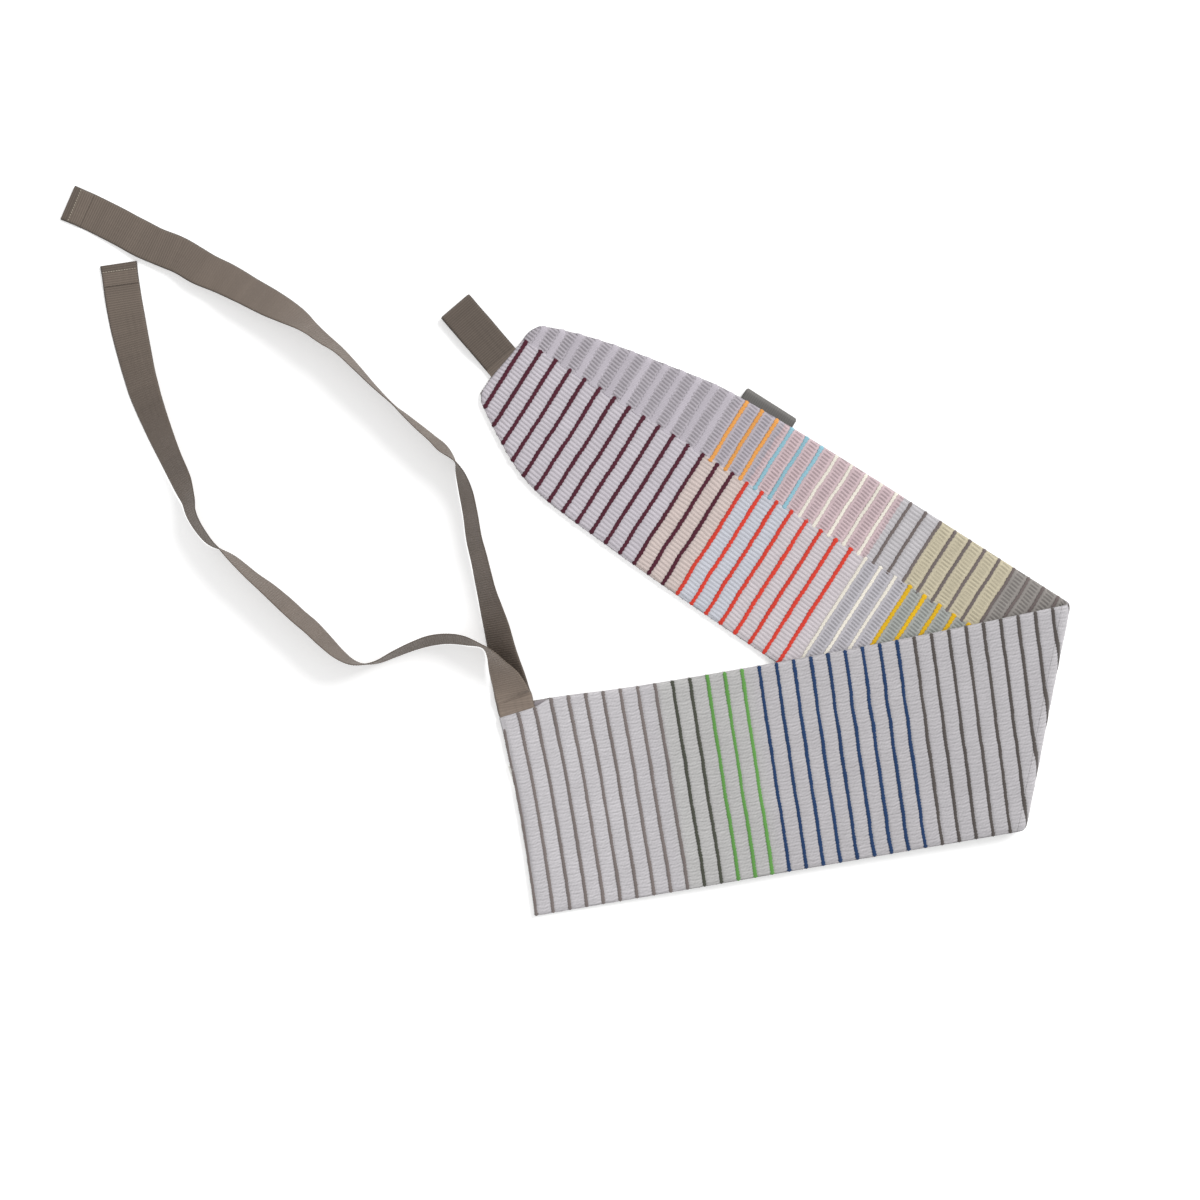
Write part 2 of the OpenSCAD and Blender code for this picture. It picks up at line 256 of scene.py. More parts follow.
LAVENDER = rgb(195, 189, 196)
# Painted shade: the covers' inside and rim are a darkened lavender, so the rim at the mouth reads shadowed
SHADED_LINING_COLOUR = rgb(150, 144, 148)
TAUPE = rgb(105, 94, 85)
GROUND = {
    "lavender": LAVENDER,
    "tone": rgb(178, 172, 179),
    "peach": rgb(206, 191, 186),
    "sky": rgb(196, 198, 207),
    "rose": rgb(203, 195, 199),
    "grey": rgb(187, 184, 190),
    "sage": rgb(165, 168, 164),
    "violet": rgb(182, 175, 183),
    "pink": rgb(204, 182, 186),
    "straw": rgb(198, 189, 164),
    "stone": rgb(148, 143, 139),
    "mist": rgb(190, 187, 190),
    "moss": rgb(188, 187, 186),
}
YARN = {
    "burgundy": rgb(74, 18, 38),
    "red": rgb(206, 56, 40),
    "cream": rgb(226, 220, 208),
    "mustard": rgb(216, 172, 18),
    "orange": rgb(220, 152, 76),
    "aqua": rgb(136, 180, 194),
    "taupe": rgb(108, 98, 96),
    "ash": rgb(180, 174, 182),
    "warm_grey": rgb(118, 109, 106),
    "olive": rgb(68, 70, 60),
    "green": rgb(92, 148, 70),
    "blue": rgb(22, 54, 96),
    "dark_grey": rgb(80, 74, 71),
}


def patch_index(s):
    """Stripe number along the patchwork face, 0 at the loop end."""
    return (LOOP_ARM_LEN - FIRST_PATCH_STRIPE + s) / STRIPE_PITCH


# Ground colours of the patchwork, as [from this stripe number on, ground, how much of it is dashes]
LOWER_GROUND = [
    (-9, "lavender", 0), (12, "peach", 0), (15, "sky", 0), (18, "rose", 0), (23, "grey", 1), (26, "sage", 1),
]
UPPER_GROUND = [
    (-9, "tone", 1), (12, "violet", 1), (15, "pink", 1), (23, "mist", 0), (25.5, "straw", 0.6),
    (30.5, "stone", 1),
]
# Yarns of the stripes, as [first number, last number, yarn]
LOWER_YARNS = [
    (0, 14, "burgundy"), (15, 22, "red"), (23, 25, "cream"), (26, 33, "mustard"), (34, 68, "taupe"),
]
UPPER_YARNS = [
    (-0.5, 11.5, "ash"), (12.5, 14.5, "orange"), (15.5, 17.5, "aqua"), (18.5, 22.5, "cream"),
    (23.5, 68.5, "taupe"),
]
STRIPE_YARNS = [
    (0, 9, "warm_grey"), (10, 11, "olive"), (12, 14, "green"), (15, 23, "blue"), (24, 44, "dark_grey"),
    (45, 68, "warm_grey"),
]


def zone(table, index, column):
    """The chosen column of the table's last row that starts at or before each index."""
    out = np.zeros(index.shape + (np.size(column(table[0])),))
    for row in table:
        out[index >= row[0]] = column(row)
    return out


def noise(s, t, scale, seed):
    """Smooth value noise in -1..1, the same every run."""
    table = np.random.default_rng(seed).uniform(-1, 1, (257, 257))
    x, y = np.asarray(s) / scale + 300, np.asarray(t) / scale + 300
    i, j = np.floor(x).astype(int), np.floor(y).astype(int)
    u, v = x - i, y - j
    u, v = u * u * (3 - 2 * u), v * v * (3 - 2 * v)
    at = lambda p, q: table[p % 257, q % 257]
    near = at(i, j) * (1 - u) + at(i + 1, j) * u
    far = at(i, j + 1) * (1 - u) + at(i + 1, j + 1) * u
    return near * (1 - v) + far * v


def noise_along(x, scale, seed):
    """Smooth noise that runs along one line."""
    return noise(x, 0 * x, scale, seed)


def smoothstep(x, a, b):
    v = np.clip((x - a) / (b - a), 0, 1)
    return v * v * (3 - 2 * v)


PILLOW_PITCH, DASH_PITCH, RIB_PITCH = 4.2, 3.7, 2.9  # across the stripes: floats, dashes, fine ribs


def patch_relief(s, t):
    """Height (mm) and colour of the patchwork's ground, with painted shade in its hollows."""
    index = patch_index(s)
    upper = t > ROW_T
    low_colour, top_colour = (zone(g, index, lambda r: GROUND[r[1]]) for g in (LOWER_GROUND, UPPER_GROUND))
    low_dash, top_dash = (zone(g, index, lambda r: r[2])[..., 0] for g in (LOWER_GROUND, UPPER_GROUND))
    dash = np.where(upper, top_dash, low_dash)
    colour = np.where(upper[..., None], top_colour, low_colour)
    # 0 on a stripe, 1 halfway to the next
    k = index - np.where(upper, 0.5, 0.0)
    off = np.abs(k - np.round(k)) * 2
    column = np.round(k - 0.5)
    shift = noise(column * 3.1, upper * 7.0, 1, 11) * 3 - column * 1.8
    lean = (k - np.floor(k)) * 1.8
    wave = noise(s, t, 11, 5) * 0.6
    pillow = np.sin(np.pi * (t + shift + wave + lean) / PILLOW_PITCH) ** 2
    dashes = np.sin(np.pi * (t + shift + wave * 0.6 + lean * 1.4) / DASH_PITCH) ** 2
    raised = smoothstep(off, 0.12, 0.42)
    plain = raised * (0.35 + 0.65 * pillow**0.6)
    dashed = smoothstep(off, 0.42, 0.62) * dashes**0.8 + 0.45 * raised
    height = 0.95 * ((1 - dash) * plain + dash * dashed) - 0.4
    # Painted shade: the hollows between the floats and the gaps between the dashes are darkened
    shade = 1 - (1 - dash) * raised * 0.34 * (1 - pillow) ** 3
    shade = shade - dash * smoothstep(off, 0.42, 0.58) * 0.52 * (1 - dashes) ** 1.3
    # Painted shade on the ground beside each stripe
    shade = shade * (1 - 0.16 * (1 - smoothstep(off, 0.2, 0.5)))
    tint = 1 + 0.035 * noise(s, t, 3.2, 21) + 0.03 * noise(s, t, 14, 22)
    colour = colour * (shade * tint)[..., None]
    return height, colour


STRIPES_BENT = 8  # stripes that follow the hollow of the tie arm's end, less and less


def stripe_lean(index):
    """How much further from the fold a stripe's lower end lies than its upper end, in mm."""
    return np.interp(index, [0, 31, 46], [0, 12, 0])


def stripe_bend(index, t):
    """How far a stripe is off straight: it follows the hollow end, and leans towards the fold."""
    hollow = END_HOLLOW / 2 * (1 - (t / HALF_W) ** 2) * np.clip(1 - index / STRIPES_BENT, 0, 1)
    return hollow - stripe_lean(index) * (HALF_W - t) / (2 * HALF_W)


def stripe_index(s, t):
    """Stripe number along the striped face, 0 at the tie end."""
    from_first = TIE_ARM_LEN - FIRST_STRIPE - s
    return (from_first - stripe_bend(from_first / STRIPE_PITCH, t)) / STRIPE_PITCH


def stripe_relief(s, t):
    """Height (mm) and colour of the striped face's ground, with painted shade in its hollows."""
    index = stripe_index(s, t)
    off = np.abs(index - np.round(index)) * 2
    column = np.floor(index)
    shift = noise(column * 2.7, 0 * t, 1, 31) * 2.5
    inside = index - column
    wave = noise(s, t, 7, 32) * 0.8
    # Two half-columns of slanted floats that lean against each other
    lean = np.where(inside < 0.5, inside, 1 - inside) * 5.5
    rib = np.sin(np.pi * (t + shift + wave + lean) / RIB_PITCH) ** 2
    pillow = np.sin(np.pi * (t + shift + wave) / PILLOW_PITCH) ** 2
    raised = smoothstep(off, 0.10, 0.36)
    height = raised * (0.25 + 0.5 * pillow**0.7 + 0.4 * rib) - 0.35
    # Painted shade between the ribs and the floats, and on the ground beside each stripe
    shade = 1 - raised * (0.22 * (1 - rib) ** 2 + 0.16 * (1 - pillow) ** 3)
    shade = shade * (1 - 0.22 * (1 - smoothstep(off, 0.18, 0.42)))
    # The ground is lighter towards the tie end
    shade = shade * (1 + 0.16 * smoothstep(s, 330, 480))
    tint = 1 + 0.04 * noise(s, t, 2.6, 33) + 0.025 * noise(s, t, 18, 34)
    greenish = (smoothstep(index, 8.5, 9.5) * (1 - smoothstep(index, 14, 15)))[..., None]
    colour = GROUND["mist"] * (1 - greenish) + GROUND["moss"] * greenish
    return height, colour * (shade * tint)[..., None]


EDGE_ROUND, EDGE_N = 7.0, 0.25  # how far in the band's edge is rounded, and its height there


def puff(d):
    """Height of the cover's outside over the seam plane at a distance d inside the edge."""
    rise = np.clip(d / EDGE_ROUND, 0, 1)
    return EDGE_N + (MID_Z - 0.45) * np.sqrt(1 - (1 - rise) ** 2)


def softness(s, t):
    """Slow swells of the padding."""
    return 0.28 * noise(s, t, 46, 41) + 0.16 * noise(s, t, 21, 42)


# ---- meshes
def signed_volume(verts, faces):
    """Six times the volume the faces enclose, negative where they face inwards."""
    v = np.asarray(verts, float)
    total = 0.0
    for size in {len(f) for f in faces}:
        f = np.array([face for face in faces if len(face) == size], int)
        for k in range(1, size - 1):
            total += np.einsum("ij,ij->i", v[f[:, 0]], np.cross(v[f[:, k]], v[f[:, k + 1]])).sum()
    return total


def mesh_object(name, verts, faces, colours=None, flat=None, smooth=True):
    """A mesh whose faces look outwards, with its colours as Col and its flat-cloth place as cloth."""
    if smooth and signed_volume(verts, faces) < 0:
        faces = [tuple(f)[::-1] for f in faces]
    mesh = bpy.data.meshes.new(name)
    mesh.from_pydata([tuple(v) for v in verts], [], [tuple(int(i) for i in f) for f in faces])
    if colours is not None:
        layer = mesh.color_attributes.new("Col", "FLOAT_COLOR", "POINT")
        rgba = np.ones((len(verts), 4))
        rgba[:, :3] = colours
        layer.data.foreach_set("color", rgba.ravel())
    if flat is not None:
        loops = np.zeros(len(mesh.loops), int)
        mesh.loops.foreach_get("vertex_index", loops)
        uv = mesh.uv_layers.new(name="cloth")
        uv.data.foreach_set("uv", (np.asarray(flat)[loops] * MM).ravel())
    if smooth:
        mesh.polygons.foreach_set("use_smooth", [True] * len(mesh.polygons))
    mesh.update()
    obj = bpy.data.objects.new(name, mesh)
    bpy.context.scene.collection.objects.link(obj)
    return obj


def grid_quads(cols, rows, start=0, flip=False):
    """The faces of a grid whose points start at start."""
    i = np.arange((cols - 1) * rows).reshape(cols - 1, rows)[:, :-1].ravel() + start
    quads = np.stack([i, i + rows, i + rows + 1, i + 1], axis=1)
    return quads[:, ::-1] if flip else quads


def border(cols, rows, start=0):
    """Indices round a grid's border."""
    at = lambda i, j: start + i * rows + j
    loop = [at(i, 0) for i in range(cols - 1)] + [at(cols - 1, j) for j in range(rows - 1)]
    loop += [at(i, rows - 1) for i in range(cols - 1, 0, -1)]
    return loop + [at(0, j) for j in range(rows - 1, 0, -1)]


def slab_faces(cols, rows):
    """The faces of two grids of points, one after the other, joined round their borders."""
    base = cols * rows
    loop = border(cols, rows)
    rim = [(b, a, a + base, b + base) for a, b in zip(loop, loop[1:] + loop[:1])]
    return [*grid_quads(cols, rows), *grid_quads(cols, rows, base, True), *rim]


def ring_quads(rings, points):
    """The side faces of a tube of rings, one after the other."""
    i = np.arange(rings - 1)[:, None] * points
    k = np.arange(points)[None]
    k2 = (k + 1) % points
    return np.stack([i + k, i + k2, i + points + k2, i + points + k], axis=-1).reshape(-1, 4)


LINING = 4  # the cover's inside has one point for each of this many outside


def cover(name, grid, relief, side):
    """A cover as a closed sheet: its outside with the weave's relief, and a plain inside."""
    cols, rows = grid.shape[:2]
    s, t = grid[..., 0], grid[..., 1]
    d = edge_distance(grid)
    height, colour = relief(s, t)
    fade = smoothstep(d, 0.5, 5)
    n = puff(d) + (height + softness(s, t)) * fade + height * 0.35 * (1 - fade)
    mouth = mouth_zone(s, t)
    n = np.maximum(n, 0.05) * (1 - mouth) + (2.75 + 0.5 * height) * mouth
    outer = place(s, t, side * n).reshape(-1, 3)
    outer[:, 2] = np.maximum(outer[:, 2], 0.0)
    inner_grid, inner_d = grid[::LINING, ::LINING], d[::LINING, ::LINING]
    inner_n = np.maximum(puff(inner_d) - COVER_T + 0.2, 0.02)
    inner_mouth = mouth[::LINING, ::LINING]
    inner_n = inner_n * (1 - inner_mouth) + 1.6 * inner_mouth
    # The inside's border draws in a little, as a turned edge does
    inner_st = np.where((inner_d < COVER_T)[..., None], inner_grid * (1, 0.985), inner_grid)
    inner = place(inner_st[..., 0], inner_st[..., 1], side * inner_n).reshape(-1, 3)
    ic, ir = inner_grid.shape[:2]
    base = cols * rows
    faces = [*grid_quads(cols, rows, flip=side < 0), *grid_quads(ic, ir, base, flip=side > 0)]
    out_loop, in_loop = border(cols, rows), border(ic, ir, start=base)
    total = len(in_loop)
    for j in range(total):
        a = [out_loop[(j * LINING + k) % len(out_loop)] for k in range(LINING + 1)]
        p, q = in_loop[j], in_loop[(j + 1) % total]
        half = LINING // 2
        fans = [(a[k + 1], a[k], p) for k in range(half)] + [(p, q, a[half])]
        fans += [(a[k + 1], a[k], q) for k in range(half, LINING)]
        faces += [f if side > 0 else f[::-1] for f in fans]
    # The inside and its rim take the lining colour with its painted shade
    colours = np.concatenate([colour.reshape(-1, 3), np.tile(SHADED_LINING_COLOUR, (len(inner), 1))])
    flat = np.concatenate([grid.reshape(-1, 2), inner_grid.reshape(-1, 2)])
    return mesh_object(name, np.concatenate([outer, inner]), faces, colours, flat)


def wadding(name, grid):
    """The padding inside, a closed slab with a soft lumpy surface."""
    cols, rows = grid.shape[:2]
    s, t = grid[..., 0], grid[..., 1]
    d = edge_distance(grid)
    shrink = 1 - SEAM_W / HALF_W
    half = np.clip(np.minimum(1.35, (d - 1) * 0.5), 0.15, None) + 0.06 * noise(s, t, 12, 61)
    top = place(s, t * shrink, half).reshape(-1, 3)
    low = place(s, t * shrink, -half).reshape(-1, 3)
    flat = np.concatenate([grid.reshape(-1, 2)] * 2)
    colours = np.tile(rgb(240, 238, 232), (len(flat), 1))
    return mesh_object(name, np.concatenate([top, low]), slab_faces(cols, rows), colours, flat)


# ---- materials
def material(name, rough, sheen=0.0, base=None):
    """A Principled material, and its base colour: a plain one, or the mesh's Col."""
    mat = bpy.data.materials.new(name)
    mat.use_nodes = True
    nodes, links = mat.node_tree.nodes, mat.node_tree.links
    shader = nodes["Principled BSDF"]
    shader.inputs["Roughness"].default_value = rough
    shader.inputs["Sheen Weight"].default_value = sheen
    shader.inputs["Sheen Roughness"].default_value = 0.5
    shader.inputs["Specular IOR Level"].default_value = 0.25
    if base is not None:
        return mat, nodes, links, shader, base
    source = nodes.new("ShaderNodeAttribute")
    source.attribute_name = "Col"
    return mat, nodes, links, shader, source.outputs["Color"]


def cloth_coords(nodes, links, turn=0.0):
    """The place on the flat cloth, in metres, turned by an angle."""
    uv = nodes.new("ShaderNodeUVMap")
    uv.uv_map = "cloth"
    mapping = nodes.new("ShaderNodeMapping")
    mapping.inputs["Rotation"].default_value = (0, 0, turn)
    links.new(uv.outputs["UV"], mapping.inputs["Vector"])
    return mapping.outputs["Vector"]


def shade_by(nodes, links, shader, colour, *patterns):
    """Base colour: colour times each pattern, (factor, low, high), in turn."""
    for factor, low, high in patterns:
        colour = multiply_colour(nodes, links, colour, factor, low, high)
    links.new(colour, shader.inputs["Base Color"])
    return colour


def multiply_colour(nodes, links, colour, factor, low, high):
    """colour times a value that runs from low to high as factor runs from 0 to 1."""
    ramp = nodes.new("ShaderNodeMapRange")  # its input runs from 0 to 1
    ramp.inputs["To Min"].default_value = low
    ramp.inputs["To Max"].default_value = high
    links.new(factor, ramp.inputs["Value"])
    mix = nodes.new("ShaderNodeMix")
    mix.data_type = "RGBA"
    mix.blend_type = "MULTIPLY"
    mix.inputs["Factor"].default_value = 1
    if isinstance(colour, np.ndarray):
        mix.inputs["A"].default_value = (*colour, 1)
    else:
        links.new(colour, mix.inputs["A"])
    links.new(ramp.outputs["Result"], mix.inputs["B"])
    return mix.outputs["Result"]


def noise_node(nodes, links, vector, scale, detail=3.0):
    tex = nodes.new("ShaderNodeTexNoise")
    tex.inputs["Scale"].default_value = scale
    tex.inputs["Detail"].default_value = detail
    links.new(vector, tex.inputs["Vector"])
    return tex.outputs["Fac"]


def wave_node(nodes, links, vector, scale, direction, distortion=0.6):
    tex = nodes.new("ShaderNodeTexWave")
    tex.bands_direction = direction
    tex.inputs["Scale"].default_value = scale
    tex.inputs["Distortion"].default_value = distortion
    tex.inputs["Detail"].default_value = 1.5
    tex.inputs["Detail Scale"].default_value = 2.0
    links.new(vector, tex.inputs["Vector"])
    return tex.outputs["Fac"]


def bump(nodes, links, shader, height, strength, distance):
    node = nodes.new("ShaderNodeBump")
    node.inputs["Strength"].default_value = strength
    node.inputs["Distance"].default_value = distance
    links.new(height, node.inputs["Height"])
    links.new(node.outputs["Normal"], shader.inputs["Normal"])


def add(nodes, links, a, b):
    node = nodes.new("ShaderNodeMath")
    links.new(a, node.inputs[0])
    links.new(b, node.inputs[1])
    return node.outputs[0]


def cloth_material(name):
    """Cotton cloth: fine floats along s, threads across, fuzz and slow unevenness of the dye."""
    mat, nodes, links, shader, colour = material(name, 0.9, 0.25)
    fine = cloth_coords(nodes, links)
    threads = wave_node(nodes, links, fine, 330, "Y", 1.2)
    cross = wave_node(nodes, links, fine, 210, "X", 1.6)
    fuzz = noise_node(nodes, links, fine, 900)
    slow = noise_node(nodes, links, fine, 45)
    weave = add(nodes, links, threads, cross)
    shade_by(nodes, links, shader, colour, (threads, 0.92, 1.05), (fuzz, 0.90, 1.10), (slow, 0.95, 1.05))
    bump(nodes, links, shader, add(nodes, links, weave, fuzz), 0.45, 0.0004)
    return mat


def yarn_material(name):
    """Twisted yarn: plies wind round it, with fuzz and painted shade in the hollows between the plies."""
    mat, nodes, links, shader, colour = material(name, 0.85, 0.3)
    plies = wave_node(nodes, links, cloth_coords(nodes, links, 0.5), 260, "Y", 1.0)
    fuzz = noise_node(nodes, links, cloth_coords(nodes, links), 1100)
    shade_by(nodes, links, shader, colour, (plies, 0.82, 1.10), (fuzz, 0.85, 1.15))
    bump(nodes, links, shader, add(nodes, links, plies, fuzz), 0.5, 0.0004)
    return mat


def webbing_material(name):
    """Ribbed tape: cross ribs, fine lengthwise lines, a slight sheen. u runs along and v across."""
    mat, nodes, links, shader, colour = material(name, 0.66, 0.15)
    coords = cloth_coords(nodes, links)
    ribs = wave_node(nodes, links, coords, 132, "X", 0.25)
    lines = wave_node(nodes, links, coords, 420, "Y", 0.5)
    fuzz = noise_node(nodes, links, coords, 700)
    slow = noise_node(nodes, links, coords, 30)
    shade_by(
        nodes, links, shader, colour,
        (ribs, 0.90, 1.07), (lines, 0.94, 1.05), (fuzz, 0.92, 1.08), (slow, 0.95, 1.05),
    )
    bump(nodes, links, shader, add(nodes, links, ribs, lines), 0.4, 0.0003)
    return mat


def fibre_material(name, base, rough, scale):
    """Loose fibres or backing felt, patterned in the object's own space."""
    mat, nodes, links, shader, colour = material(name, rough, 0.2, base)
    coords = nodes.new("ShaderNodeTexCoord").outputs["Object"]
    fine = noise_node(nodes, links, coords, scale, 6.0)
    shade_by(nodes, links, shader, colour, (fine, 0.85, 1.12))
    bump(nodes, links, shader, fine, 0.5, 0.0006)
    return mat


CLOTH = cloth_material("woven_cotton")
YARN_MAT = yarn_material("twisted_yarn")
TAPE = webbing_material("ribbed_webbing")
THREAD = fibre_material("stitch_thread", rgb(150, 143, 132), 0.7, 2500)
BACKING = fibre_material("backing_felt", rgb(228, 227, 220), 0.95, 1500)
WADDING = fibre_material("wadding_fibre", rgb(242, 240, 235), 1.0, 700)
LABEL = webbing_material("label_satin")
TAIL = fibre_material("webbing_tail", TAUPE, 0.7, 1200)


def dress(obj, mat):
    """Gives a piece its material, as its only material slot."""
    obj.data.materials.clear()
    obj.data.materials.append(mat)
    return obj


# ---- ties
# The routes from the mouth, as in the CAD model: [x, y, roll in degrees, height of the lower edge]
UPPER_ROUTE = [
    (-1, 9, 0, 4.4), (-3, 14, 11, 4.6), (-5, 20, 22, 3.6), (-10, 32, 38, 2.9), (-17, 44, 56, 2.6),
    (-24, 55, 72, 2), (-33, 64, 84, 1), (-51, 70, 75, 0.3), (-70, 72, 73, 0), (-87, 70, 73, 0),
    (-103, 65, 76, 0), (-122, 57, 80, 0), (-142, 48, 86, 0), (-156, 46, 90, 0), (-167, 48, 96, 0),
    (-180, 56, 104, 0), (-196, 71, 110, 0), (-209, 84, 112, 0), (-222, 95, 112, 0),
    (-235, 107, 112, 0), (-253, 123, 109, 0), (-269, 136, 104, 0), (-289, 154, 98, 0),
    (-299, 162, 90, 0), (-314, 173, 75, 0), (-325, 187, 70, 0), (-332, 201, 66, 0),
    (-335, 215, 60, 0), (-341, 231, 50, 0), (-354, 259, 45, 0), (-369, 294, 35, 0),
    (-382, 329, 25, 0), (-393, 370, 12, 0), (-402, 411, 0, 0), (-409, 458, 0, 0),
]
LOWER_ROUTE = [
    (-1, 7, 0, 1.5), (-4, 19, 12, 1.1), (-8, 37, 27, 0.6), (-13, 57, 37, 0.2), (-19, 83, 44, 0.1),
    (-24, 101, 50, 0), (-30, 123, 57, 0), (-37, 154, 60, 0), (-42, 174, 62, 0), (-46, 200, 64, 0),
    (-51, 224, 66, 0), (-57, 243, 76, 0), (-62, 254, 90, 0), (-74, 267, 105, 0), (-86, 278, 102, 0),
    (-99, 289, 100, 0), (-115, 303, 95, 0), (-124, 311, 91, 0), (-144, 330, 95, 0),
    (-163, 350, 100, 0), (-180, 367, 104, 0), (-196, 379, 110, 0), (-211, 391, 116, 0),
    (-228, 403, 130, 0), (-251, 416, 142, 0), (-273, 428, 147, 0), (-299, 442, 157, 0),
    (-321, 452, 163, 0), (-345, 466, 170, 0), (-376, 479, 174, 0), (-412, 498, 178, 0),
    (-438, 511, 180, 0), (-461, 521, 180, 0),
]
TIE_TURN = FACING + SKEW
TIE_ALONG = np.array([math.cos(TIE_TURN), math.sin(TIE_TURN)])
TIE_OUT = np.array([-math.sin(TIE_TURN), math.cos(TIE_TURN)])
FOLD_XY = np.array([FOLD_X, FOLD_Y])
MOUTH = FOLD_XY - (TIE_ARM_LEN - WEBBING_W / 2) * TIE_ALONG + (HALF_W - SEAM_W) * TIE_OUT


def spline(points, step):
    """A smooth curve through the points (Catmull-Rom, centripetal), sampled about every step mm."""
    p = np.array(points, float)
    p = np.vstack([2 * p[0] - p[1], p, 2 * p[-1] - p[-2]])
    out = []
    for i in range(1, len(p) - 2):
        p0, p1, p2, p3 = p[i - 1 : i + 3]
        k = [0]
        for a, b in ((p0, p1), (p1, p2), (p2, p3)):
            k.append(k[-1] + max(np.linalg.norm((b - a)[:2]), 1e-3) ** 0.5)
        n = max(2, int(round(np.linalg.norm((p2 - p1)[:2]) / step)))
        for u in np.linspace(k[1], k[2], n, endpoint=False)[:, None]:
            a1 = (k[1] - u) / (k[1] - k[0]) * p0 + (u - k[0]) / (k[1] - k[0]) * p1
            a2 = (k[2] - u) / (k[2] - k[1]) * p1 + (u - k[1]) / (k[2] - k[1]) * p2
            a3 = (k[3] - u) / (k[3] - k[2]) * p2 + (u - k[2]) / (k[3] - k[2]) * p3
            b1 = (k[2] - u) / (k[2] - k[0]) * a1 + (u - k[0]) / (k[2] - k[0]) * a2
            b2 = (k[3] - u) / (k[3] - k[1]) * a2 + (u - k[1]) / (k[3] - k[1]) * a3
            out.append((k[2] - u) / (k[2] - k[1]) * b1 + (u - k[1]) / (k[2] - k[1]) * b2)
    out.append(p[-2])
    return np.array(out)


def unit(v):
    return v / np.linalg.norm(v, axis=-1, keepdims=True)


def strip_frames(route):
    """Centres, widthwise and outward directions along a route, in mm in the row's frame."""
    roll = np.radians(route[:, 2])
    z = route[:, 3] + WEBBING_W / 2 * np.abs(np.sin(roll)) + WEBBING_T / 2 * np.abs(np.cos(roll))
    centre = np.column_stack([MOUTH[0] + route[:, 0], MOUTH[1] + route[:, 1], z])
    along = unit(np.gradient(centre, axis=0))
    right = unit(np.column_stack([along[:, 1], -along[:, 0], np.zeros(len(along))]))
    up = np.array([0, 0, 1.0])
    w = right * np.cos(roll)[:, None] + up * np.sin(roll)[:, None]
    w = unit(w - (w * along).sum(1, keepdims=True) * along)
    return centre, w, np.cross(along, w)


ACROSS = 19  # points across each face of a tape
RIB_PITCH_MM, RIB_MM = 2.4, 0.16
WAVER_MM = 0.5  # how much a tape's width varies


def dip(q, at, width):
    """1 at q = at, falling to 0 on both sides."""
    return np.exp(-(((q - at) / width) ** 2))


def tape(name, centre, w, out, along_mm, width, colour, seed, painted_light=1.0):
    """A closed ribbed tape swept through frames. Its Col carries painted shade at the selvedges and between
    the ribs, and the painted light given along its length.
    """
    q = np.linspace(-1, 1, ACROSS)
    q = np.sign(q) * np.abs(q) ** 0.9
    bulge = np.sqrt(np.clip(1 - np.abs(q) ** 14, 0, 1))
    rib_wave = np.cos(FULL_TURN * along_mm / RIB_PITCH_MM)[:, None]
    edge = 1 + WAVER_MM / width * noise_along(along_mm, 17, 70 + seed)[:, None]
    selvedge = 0.12 * dip(np.abs(q), 0.93, 0.05)
    half = WEBBING_T / 2 * bulge + rib_wave * RIB_MM * bulge * (np.abs(q) < 0.9) + selvedge * bulge
    x = q * width / 2 * edge
    top = centre[:, None] + x[..., None] * w[:, None] + half[..., None] * out[:, None]
    low = centre[:, None] + x[..., None] * w[:, None] - half[..., None] * out[:, None]
    ring = np.concatenate([top, low[:, ::-1][:, 1:-1]], axis=1)
    n, m = ring.shape[:2]
    verts = ring.reshape(-1, 3) * MM
    faces = [*ring_quads(n, m), tuple(range(m - 1, -1, -1)), tuple((n - 1) * m + c for c in range(m))]
    full_q = np.concatenate([q, q[::-1][1:-1]])
    # Painted shade darkens the selvedges; a faint lighter line runs just inside them
    selvedge_shade = 1 - 0.22 * dip(np.abs(full_q), 1, 0.06) + 0.05 * dip(np.abs(full_q), 0.86, 0.03)
    tone = selvedge_shade[None] * (1 + 0.05 * noise_along(along_mm, 6, 80 + seed))[:, None]
    # Painted shade in the hollows between the ribs, lighter on their crests
    tone = tone * (1 + 0.09 * rib_wave)
    # Lengthwise lines that come and go
    for k, at in enumerate((-0.62, -0.33, 0.02, 0.36, 0.66)):
        wear = 0.14 * noise(along_mm, 0 * along_mm + k, 31, 84 + seed)[:, None]
        tone = tone * (1 + dip(full_q, at, 0.035)[None] * wear)
    # Painted light and shade given along the length
    tone = tone * np.broadcast_to(painted_light, n)[:, None]
    colours = (colour[None, None] * tone[..., None]).reshape(-1, 3)
    flat = np.stack(np.broadcast_arrays(along_mm[:, None], full_q[None] * width / 2), axis=-1).reshape(-1, 2)
    return mesh_object(name, verts, faces, colours, flat)


SPLIT = 14.0  # how far out of the mouth a tie's root ends and its free length starts
INSIDE = 32.0  # how far its tail reaches into the mouth


def tie_frames(points, low_z):
    """Frames of a tie from inside the mouth to its end, and how far out of the mouth each lies."""
    inward = []
    for out_mm, aside in ((-INSIDE, 3.0), (-20, 3.0), (-10, 2.4), (0, 0.6)):
        x, y = TIE_OUT * out_mm + TIE_ALONG * aside
        inward.append((x, y, 0, low_z if out_mm < -5 else (low_z + points[0][3]) / 2))
    centre, w, out = strip_frames(spline(inward + list(points), 0.6))
    reach = (centre[:, :2] - MOUTH) @ TIE_OUT
    length = np.r_[0, np.cumsum(np.linalg.norm(np.diff(centre, axis=0), axis=1))]
    return centre, w, out, length, int(np.argmax(reach > SPLIT))


HEM_SHOWN = 7.5  # the turned end, up to its stitches


